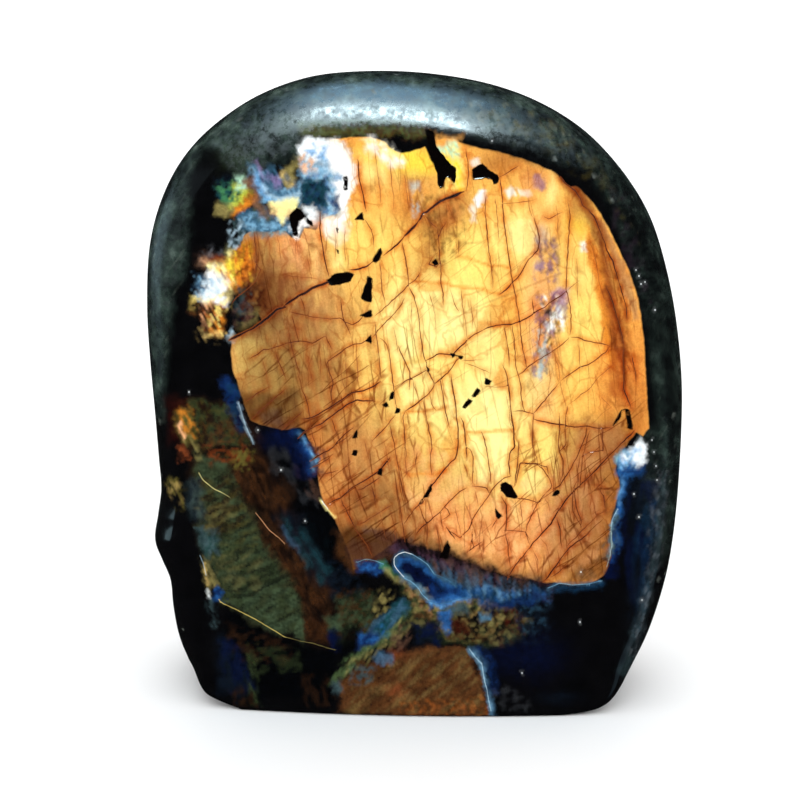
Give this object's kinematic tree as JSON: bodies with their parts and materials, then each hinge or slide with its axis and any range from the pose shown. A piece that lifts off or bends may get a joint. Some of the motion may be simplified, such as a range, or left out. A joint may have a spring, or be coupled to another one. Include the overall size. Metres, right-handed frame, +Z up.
{
  "type": "polished labradorite freeform",
  "caption": "Free-standing polished labradorite stone with a flat sawn base, rounded edges and a leaning, gently crowned face that shows golden and blue fire.",
  "frame": {"origin": "bottom centre of the stone's bounding box, on the plane of its sawn base", "axes": "+X to the right of the polished face as it is looked at, +Y into the stone from that face, +Z up"},
  "size_m": [0.0772, 0.034, 0.0893],
  "materials": {
    "labradorite": "high polish; dark grey-green feldspar with golden, blue and green fire and fine dark cleavage cracks on the face"
  },
  "bodies": {
    "root": {"stone": "labradorite"}
  },
  "joints": []
}
